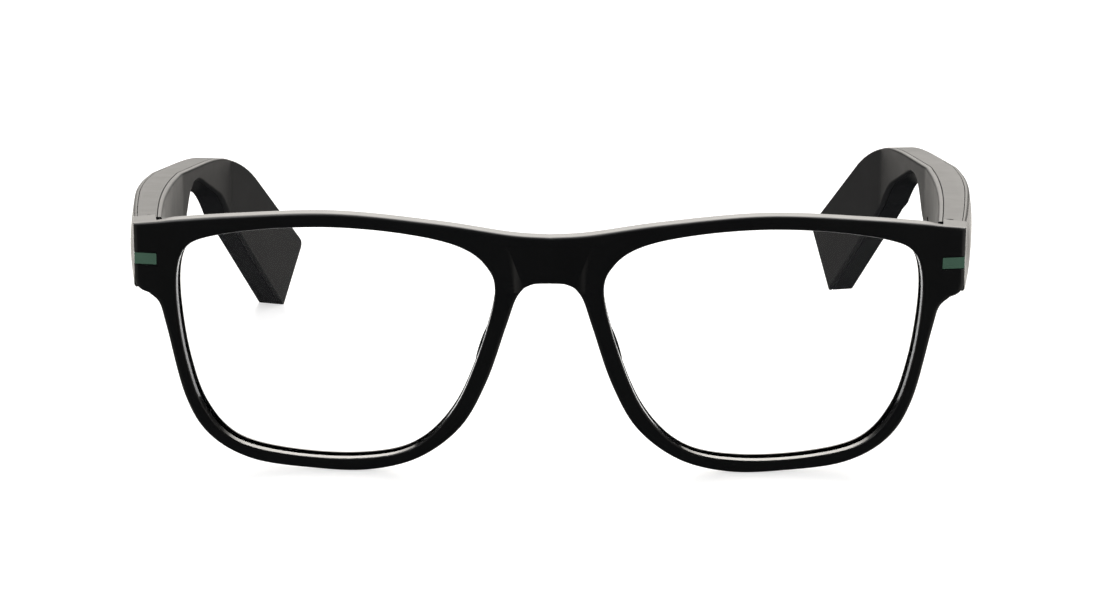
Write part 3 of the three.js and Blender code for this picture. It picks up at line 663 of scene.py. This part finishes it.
def temple_shell(side, keys):
    profile = [(PARTING, SHELL_START), *sides(SHELL_START + PARTING, ARM_LAYERS, 0, ARM_ROUND)]
    shell = solid("temple_shell", arm_outline, profile)
    combine(shell, all_along(-1, PANEL_END + PANEL_GAP, PANEL_START - PANEL_GAP))
    cavity = solid("cavity", inset(arm_outline, WALL), sides(0, CAVITY_FLOOR))
    combine(cavity, all_along(-1, SOLID_FRONT, -1))
    combine(shell, cavity)
    combine(shell, upright_bar(MIC_PORT["at"], MIC_PORT["low"], MIC_PORT["high"], MIC_PORT))
    recess_at = JOINT_AT + TOP_RECESS["behind"]
    combine(shell, upright_bar(recess_at, ARM_TOP - TOP_RECESS["deep"], ARM_TOP + 1, TOP_RECESS))
    for key in keys:
        combine(shell, key_slot(key))
    bend_arm(shell)
    return combine(shell, under_floor(side))


def inner_cover(side, with_light):
    profile = [*sides(0, COVER_THICK - PARTING, ARM_ROUND, 0), (PARTING, COVER_THICK)]
    cover = solid("inner_cover", arm_outline, profile)
    combine(cover, slab((-1, -LEAF_HALF, -1), (LEAF_END + LEAF_GAP, LEAF_HALF, 2)))
    grille_room = pill(GRILLE_AT, GRILLE_LONG + 2 * GAP, GRILLE_TALL + 2 * GAP)
    combine(cover, solid("grille_room", grille_room, sides(-1, 2)))
    for place in CONTACTS.values():
        combine(cover, through(place, CONTACT["room"]))
    if with_light:
        combine(cover, through(STATUS_LIGHT, LIGHT_ROOM))
    bend_arm(cover)
    combine(cover, barrel_room())
    return combine(cover, under_floor(side))


def outer_panel():
    profile = [(PARTING, PANEL_START), *sides(PANEL_START + PARTING, ARM_LAYERS, 0, ARM_ROUND)]
    panel = solid("outer_panel", arm_outline, profile)
    combine(panel, all_along(PANEL_END, ARM_BACK[-1][0] + TOOL, 0))
    return bend_arm(panel, CROWN_CUTS)


def speaker_grille():
    plate_outline = pill(GRILLE_AT, GRILLE_LONG, GRILLE_TALL, 14)
    plate_sides = sides(GRILLE_PLATE["start"], GRILLE_PLATE["end"], GRILLE_PLATE["round"], 0, 3)
    plate = solid("speaker_grille", plate_outline, plate_sides)
    lying = pill((0, 0), GRILLE_SLOTS["tall"], GRILLE_SLOTS["wide"], 8)
    upright = [Vector((point.y, point.x)) for point in reversed(lying)]
    for i in range(-2, 3):
        centre = GRILLE_AT + Vector((GRILLE_SLOTS["pitch"] * i, 0))
        combine(plate, solid("slot", [point + centre for point in upright], sides(0, 1)))
    return bend_arm(plate)


def leaf_screw(height):
    """A countersunk hinge screw with a cross recess."""
    place = Vector((LEAF_SCREW_AT, height))
    ends = (*place, SCREW_HEAD["start"]), (*place, SCREW_HEAD["end"])
    head = bar(*ends, SCREW_HEAD["radius"], SCREW_HEAD["edge"])
    slot = Vector((SCREW_CROSS["long"], SCREW_CROSS["wide"]))
    for size in (slot, slot.yx):
        combine(head, slab((*(place - size), 0), (*(place + size), SCREW_CROSS["deep"])))
    shank = bar((*place, SCREW_SHANK["start"]), (*place, SCREW_SHANK["end"]), SCREW_SHANK["radius"])
    combine(head, shank, "UNION")
    return bend_arm(head)


def charge_contact(place):
    ends = (*place, CONTACT["start"]), (*place, CONTACT["end"])
    return bend_arm(bar(*ends, CONTACT["radius"], CONTACT["edge"]))


def key_cap(key):
    """A soft-edged key with a shallow dish along its face."""
    stem_outline = pill((0, 0), key["long"], key["wide"], 14)
    stem = solid("key", stem_outline, sides(0, KEY_TALL - 0.2, KEY_ROUND, 0, 6))
    bm = bmesh.new()
    bm.from_mesh(stem.data)
    for along in range(-9, 10):
        split_at(bm, 0, key["long"] / 20 * along)
    for corner in bm.verts:
        if corner.co.z < 0.3:
            corner.co.z += KEY_DISH * math.cos(math.pi * corner.co.x / key["long"]) ** 2
    bm.to_mesh(stem.data)
    bm.free()
    flange_outline = pill((0, 0), key["long"] + KEY_FLANGE["longer"], key["wide"] + KEY_FLANGE["wider"])
    flange = solid("flange", flange_outline, sides(KEY_TALL - KEY_FLANGE["thick"], KEY_TALL))
    combine(stem, flange, "UNION")
    half = key["long"] / 2
    start = arm_place(key["at"] - half, KEY_FACE, key["depth"])
    end = arm_place(key["at"] + half, KEY_FACE, key["depth"])
    along = (end - start).normalized()
    up = Vector((0, 0, 1))
    turn = Matrix((along, up.cross(along), up)).transposed().to_4x4()
    stem.data.transform(Matrix.Translation((start + end) / 2) @ turn)
    return stem


# ---- materials ----
def shader(name, color, roughness, metallic=0.0, specular=0.5):
    """A new material with its main shader's plain values set."""
    material = bpy.data.materials.new(name)
    material.use_nodes = True
    principled = material.node_tree.nodes["Principled BSDF"]
    principled.inputs["Base Color"].default_value = (*color, 1)
    principled.inputs["Roughness"].default_value = roughness
    principled.inputs["Metallic"].default_value = metallic
    principled.inputs["Specular IOR Level"].default_value = specular
    return material


def mapped_noise(material, size, detail=3, stretch=(1, 1, 1)):
    """Noise with features of the given size in millimetres, fixed to the piece."""
    nodes, links = material.node_tree.nodes, material.node_tree.links
    place = nodes.new("ShaderNodeTexCoord")
    mapping = nodes.new("ShaderNodeMapping")
    mapping.inputs["Scale"].default_value = stretch
    noise = nodes.new("ShaderNodeTexNoise")
    noise.inputs["Scale"].default_value = 1 / (size * MM)
    noise.inputs["Detail"].default_value = detail
    links.new(place.outputs["Object"], mapping.inputs["Vector"])
    links.new(mapping.outputs["Vector"], noise.inputs["Vector"])
    return noise.outputs["Fac"]


def map_range(tree, value, start, end, low, high):
    """Remaps a value, so that start to end becomes low to high."""
    ramp = tree.nodes.new("ShaderNodeMapRange")
    for name, number in (("From Min", start), ("From Max", end), ("To Min", low), ("To Max", high)):
        ramp.inputs[name].default_value = number
    tree.links.new(value, ramp.inputs["Value"])
    return ramp.outputs["Result"]


def combined(tree, operation, first, second):
    """A sum, product or the like, of a value and another value or plain number."""
    made = tree.nodes.new("ShaderNodeMath")
    made.operation = operation
    tree.links.new(first, made.inputs[0])
    if isinstance(second, (int, float)):
        made.inputs[1].default_value = second
    else:
        tree.links.new(second, made.inputs[1])
    return made.outputs["Value"]


def mixed_color(tree, share, first, second):
    """The first colour where the share is 0 and the second where it is 1."""
    mix = tree.nodes.new("ShaderNodeMix")
    mix.data_type = "RGBA"
    mix.inputs["A"].default_value = (*first, 1)
    mix.inputs["B"].default_value = (*second, 1)
    tree.links.new(share, mix.inputs["Factor"])
    return mix.outputs["Result"]


def spread(material, noise, low, high):
    """Spreads a noise's middle values, where most of them are, from low to high."""
    return map_range(material.node_tree, noise, 0.35, 0.65, low, high)


def drive(material, socket, value):
    """Links a value or colour to a socket of the material's main shader."""
    tree = material.node_tree
    tree.links.new(value, tree.nodes["Principled BSDF"].inputs[socket])


def cloudy(material, noise, first, second):
    """Mixes the base colour from two by a noise."""
    share = spread(material, noise, 0, 1)
    drive(material, "Base Color", mixed_color(material.node_tree, share, first, second))


def bump_from(material, height, depth):
    """Surface relief of a depth in millimetres."""
    bump = material.node_tree.nodes.new("ShaderNodeBump")
    bump.inputs["Strength"].default_value = 1
    bump.inputs["Distance"].default_value = depth * MM
    material.node_tree.links.new(height, bump.inputs["Height"])
    drive(material, "Normal", bump.outputs["Normal"])


def scaled_color(color, factor):
    return tuple(channel * factor for channel in color)


def moulded(name, color, roughness, grain, depth, specular=0.5):
    """Moulded plastic: fine grain, faint clouds in the colour and gloss, and edges rubbed smoother."""
    material = shader(name, color, roughness, specular=specular)
    tree = material.node_tree
    cloudy(material, mapped_noise(material, 9, 2), scaled_color(color, 0.94), scaled_color(color, 1.06))
    rough = spread(material, mapped_noise(material, 5, 2), roughness - 0.015, roughness + 0.015)
    edges = tree.nodes.new("ShaderNodeNewGeometry").outputs["Pointiness"]
    rubbed = map_range(tree, edges, 0.52, 0.6, 0, 0.06)
    drive(material, "Roughness", combined(tree, "SUBTRACT", rough, rubbed))
    bump_from(material, mapped_noise(material, grain, 2), depth)
    return material


def clear_glass():
    """Clear lens glass. Its low index stands for the coating that takes most of the reflection away."""
    material = shader("lens_glass", (1, 1, 1), 0.0)
    principled = material.node_tree.nodes["Principled BSDF"]
    principled.inputs["Transmission Weight"].default_value = 1
    principled.inputs["IOR"].default_value = 1.15
    drive(material, "Roughness", spread(material, mapped_noise(material, 14, 3), 0.0, 0.02))
    return material


def metal(name, color, roughness, stretch):
    """Metal with fine marks along one direction."""
    material = shader(name, color, roughness, metallic=1)
    lines = mapped_noise(material, 0.25, 3, stretch)
    drive(material, "Roughness", spread(material, lines, roughness - 0.08, roughness + 0.1))
    cloudy(material, mapped_noise(material, 2.5), scaled_color(color, 0.85), color)
    bump_from(material, lines, 0.004)
    return material


def speckled(name, first, second, size, roughness):
    """A printed or wrapped surface with a slight mottle."""
    material = shader(name, first, roughness)
    mottle = mapped_noise(material, size, 4)
    cloudy(material, mottle, first, second)
    drive(material, "Roughness", spread(material, mottle, roughness - 0.08, roughness + 0.08))
    bump_from(material, mottle, 0.01)
    return material


# colour, roughness, size and depth of the grain in millimetres
frame_black = moulded("frame_black", (0.0038, 0.004, 0.0044), 0.36, 0.16, 0.002, specular=0.95)
rim_polish = moulded("rim_polish", (0.0035, 0.0038, 0.0042), 0.12, 0.2, 0.0005, specular=0.8)
# painted shade and painted light: the shell and the inner cover are one dark grey plastic. The shell's
# colour is made darker to paint the shade on its undersides and tip, and the cover's is made lighter to
# paint the light that its inner faces reflect.
temple_grey_painted_shade = moulded("temple_grey_painted_shade", (0.0085, 0.0088, 0.0095), 0.38, 0.22, 0.0003, specular=0.36)
cover_grey_painted_light = moulded("cover_grey_painted_light", (0.012, 0.0122, 0.013), 0.38, 0.22, 0.0003)
panel_grey = moulded("panel_grey", (0.0075, 0.0078, 0.0085), 0.28, 0.2, 0.002)
inlay_green = moulded("inlay_green", (0.046, 0.097, 0.066), 0.32, 0.3, 0.001)
pad_rubber = moulded("pad_rubber", (0.012, 0.012, 0.013), 0.6, 0.3, 0.006)
key_black = moulded("key_black", (0.008, 0.008, 0.009), 0.35, 0.18, 0.003)
glass = clear_glass()
steel = metal("hinge_steel", (0.55, 0.56, 0.57), 0.28, (1, 1, 12))
grille_steel = metal("grille_steel", (0.12, 0.12, 0.125), 0.35, (1, 8, 1))
gold = metal("contact_gold", (0.83, 0.6, 0.26), 0.22, (6, 1, 1))
board_green = speckled("board_green", (0.012, 0.06, 0.035), (0.02, 0.085, 0.05), 0.8, 0.4)
chip_black = speckled("chip_black", (0.01, 0.01, 0.011), (0.02, 0.02, 0.02), 0.3, 0.5)
cell_foil = speckled("cell_foil", (0.06, 0.08, 0.13), (0.09, 0.11, 0.17), 1.5, 0.35)
flex_amber = speckled("flex_amber", (0.42, 0.17, 0.03), (0.5, 0.22, 0.045), 1.2, 0.35)
light_milk = speckled("light_milk", (0.75, 0.8, 0.76), (0.82, 0.86, 0.82), 0.4, 0.4)


# ---- assembly ----
def soften(piece):
    """Shades a piece's curved faces smooth, and keeps its edges sharp."""
    for polygon in piece.data.polygons:
        polygon.use_smooth = True
    piece.data.set_sharp_from_angle(angle=SHARP_ANGLE)


def finish_piece(piece, name, node, body, material, to_place, second_material=None):
    """Puts a finished piece in the frame, ties it to its body, and hides the CAD node that it replaces."""
    piece.name = name
    piece.data.name = name
    piece.data.transform(to_place)
    if to_place.determinant() < 0:
        piece.data.flip_normals()
    soften(piece)
    weighted = piece.modifiers.new("weighted_normals", "WEIGHTED_NORMAL")
    weighted.keep_sharp = True
    weighted.weight = 100
    marked = [polygon.material_index for polygon in piece.data.polygons]
    piece.data.materials.clear()
    piece.data.materials.append(material)
    if second_material:
        piece.data.materials.append(second_material)
        piece.data.polygons.foreach_set("material_index", marked)
    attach(piece, body)
    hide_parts(node)


def repaint(node, material):
    """A CAD node whose shape is right keeps it and gets its material and soft shading."""
    piece = frame["nodes"][node]
    piece.data.materials.clear()
    piece.data.materials.append(material)
    soften(piece)


def mirror_matrix(sign):
    return Matrix.Identity(4) if sign > 0 else Matrix.Scale(-1, 4, (1, 0, 0))


def on_front(piece, name, sign, material, second_material=None):
    place = to_frame @ mirror_matrix(sign)
    finish_piece(piece, f"{name}_look", name, "front", material, place, second_material)


def on_arm(piece, name, side, material, body=None):
    node = f"{name}_{side}"
    place = to_frame @ mirror_matrix(SIDES[side]) @ arm_to_front[side]
    finish_piece(piece, f"{node}_look", node, body or f"temple_{side}", material, place)


def build_front():
    on_front(front_frame(), "front_frame", 1, frame_black, rim_polish)
    for side, sign in SIDES.items():
        on_front(lens(), f"lens_{side}", sign, glass)
        on_front(inlay(side), f"endpiece_inlay_{side}", sign, inlay_green)
        on_front(nose_pad(), f"nose_pad_{side}", sign, pad_rubber)


def build_temple(side):
    right = side == "right"
    keys = [BUTTON, ROCKER] if right else []
    on_arm(temple_shell(side, keys), "temple_shell", side, temple_grey_painted_shade)
    on_arm(inner_cover(side, right), "temple_inner_cover", side, cover_grey_painted_light)
    on_arm(outer_panel(), "temple_outer_panel", side, panel_grey)
    on_arm(speaker_grille(), "speaker_grille", side, grille_steel)
    for level, height in LEAF_SCREWS.items():
        on_arm(leaf_screw(height), f"leaf_screw_{level}", side, steel)
    for end, contact_place in CONTACTS.items():
        on_arm(charge_contact(contact_place), f"charge_contact_{end}", side, gold)
    if right:
        on_arm(key_cap(BUTTON), "action_button", side, key_black, "action_button")
        on_arm(key_cap(ROCKER), "volume_rocker", side, key_black, "volume_rocker")
        repaint("status_light_right", light_milk)
        for name in ("action", "volume_up", "volume_down"):
            repaint(f"{name}_switch_right", steel)


def repaint_inner_parts(side):
    for name, material in {
        "hinge_front_leaf": steel,
        "hinge_pin": steel,
        "hinge_temple_leaf": steel,
        "circuit_board": board_green,
        "shield_can": steel,
        "microphone": gold,
        "speaker": chip_black,
        "flex_cable": flex_amber,
        "battery": cell_foil,
    }.items():
        repaint(f"{name}_{side}", material)


# ---- the studio ----
WHITE = (1, 1, 1)
WARM_WHITE = (1, 0.96, 0.9)
SOFT_LIGHT = 0.8
FOCAL = 135.17  # millimetres, on a sensor 36 mm wide
CAMERA_FROM_BRIDGE = Vector((-0.0004, -0.7, 0.19305))  # metres
CAMERA_PITCH = math.radians(13.015)
CAMERA_ROLL = math.radians(0.326)


def area_light(name, place, target, size, power):
    light = bpy.data.lights.new(name, "AREA")
    light.shape = "RECTANGLE"
    light.size, light.size_y = size
    light.energy = power
    lamp = bpy.data.objects.new(name, light)
    lamp.location = place
    lamp.rotation_euler = (Vector(target) - Vector(place)).to_track_quat("-Z", "Y").to_euler()
    bpy.context.scene.collection.objects.link(lamp)


def paper_floor():
    """White paper that glows a little, so that the shadows on it stay faint."""
    half = 6  # metres
    corners = [(-half, -half, 0), (half, -half, 0), (half, half, 0), (-half, half, 0)]
    mesh = bpy.data.meshes.new("floor")
    mesh.from_pydata(corners, [], [(0, 1, 2, 3)])
    floor = bpy.data.objects.new("floor", mesh)
    bpy.context.scene.collection.objects.link(floor)
    paper = shader("paper", (0.5, 0.5, 0.5), 0.35, specular=0.2)
    principled = paper.node_tree.nodes["Principled BSDF"]
    principled.inputs["Emission Color"].default_value = (1, 1, 1, 1)
    principled.inputs["Emission Strength"].default_value = 0.58
    drive(paper, "Roughness", spread(paper, mapped_noise(paper, 30, 2), 0.3, 0.4))
    mesh.materials.append(paper)
    floor.visible_glossy = False


def chosen(tree, share, first, second):
    """The first value where the share is 0 and the second, a plain number, where it is 1."""
    mix = tree.nodes.new("ShaderNodeMix")
    tree.links.new(share, mix.inputs["Factor"])
    tree.links.new(first, mix.inputs["A"])
    mix.inputs["B"].default_value = second
    return mix.outputs["Result"]


def surroundings(tree):
    """What the glasses mirror: a bright panel behind them, dim ones at the sides, and darkness in front."""
    split = tree.nodes.new("ShaderNodeSeparateXYZ")
    direction = tree.nodes.new("ShaderNodeTexCoord").outputs["Generated"]
    tree.links.new(direction, split.inputs["Vector"])
    across, back, up = (split.outputs[axis] for axis in "XYZ")
    sideways = tree.nodes.new("ShaderNodeMath")
    sideways.operation = "ABSOLUTE"
    tree.links.new(across, sideways.inputs[0])

    # the panel gets brighter upwards, and the table in front of it brighter downwards
    upwards = combined(tree, "POWER", map_range(tree, up, -0.05, 0.42, 0.0, 1.0), 1.6)
    table = map_range(tree, up, -0.22, -0.02, 2.2, 0.3)
    panel = combined(tree, "ADD", combined(tree, "MULTIPLY", upwards, 3.8), table)
    behind = map_range(tree, back, 0.0, 0.6, 0.0, 1.0)
    narrow = map_range(tree, sideways.outputs["Value"], 0.2, 0.44, 1.0, 0.03)
    above_edge = map_range(tree, up, -0.45, -0.3, 0.0, 1.0)
    for share in (combined(tree, "MULTIPLY", behind, narrow), above_edge):
        panel = combined(tree, "MULTIPLY", panel, share)

    right = map_range(tree, across, 0.55, 0.8, 0.0, 0.26)
    left = map_range(tree, across, -0.55, -0.8, 0.0, 0.13)
    return combined(tree, "ADD", panel, combined(tree, "ADD", right, left))


def studio_world():
    """White where it is seen directly, an even glow for soft light, and the surroundings in reflections."""
    world = bpy.data.worlds.new("studio")
    bpy.context.scene.world = world
    world.use_nodes = True
    tree = world.node_tree
    rays = tree.nodes.new("ShaderNodeLightPath").outputs
    indirect = chosen(tree, rays["Is Diffuse Ray"], surroundings(tree), SOFT_LIGHT)
    unreflected = combined(tree, "LESS_THAN", rays["Glossy Depth"], 0.5)
    through_lens = combined(tree, "MULTIPLY", rays["Is Transmission Ray"], unreflected)
    direct = combined(tree, "MAXIMUM", rays["Is Camera Ray"], through_lens)
    background = tree.nodes["Background"]
    tree.links.new(mixed_color(tree, rays["Is Glossy Ray"], WHITE, WARM_WHITE), background.inputs["Color"])
    tree.links.new(chosen(tree, direct, indirect, 1.0), background.inputs["Strength"])


def studio():
    paper_floor()
    studio_world()
    area_light("key", (-0.5, -0.1, 0.9), (0, 0, 0.02), (0.7, 0.7), 2.5)
    area_light("top", (0.3, 0.35, 1.0), (0, 0, 0.02), (1.0, 0.8), 3.5)
    bpy.context.scene.view_settings.view_transform = "Standard"


def camera():
    """The photograph's view: 0.7 m in front of the bridge, a little above it, looking slightly down."""
    data = bpy.data.cameras.new("camera")
    data.sensor_width = 36
    data.lens = FOCAL
    data.clip_start = 0.01
    data.clip_end = 20
    made = bpy.data.objects.new("camera", data)
    made.location = to_frame @ Vector((0, 0, 0)) + CAMERA_FROM_BRIDGE
    pitch = Matrix.Rotation(math.pi / 2 - CAMERA_PITCH, 4, "X")
    made.rotation_euler = (pitch @ Matrix.Rotation(CAMERA_ROLL, 4, "Z")).to_euler()
    bpy.context.scene.collection.objects.link(made)
    bpy.context.scene.camera = made


build_front()
for side_name in SIDES:
    build_temple(side_name)
    repaint_inner_parts(side_name)
studio()
camera()
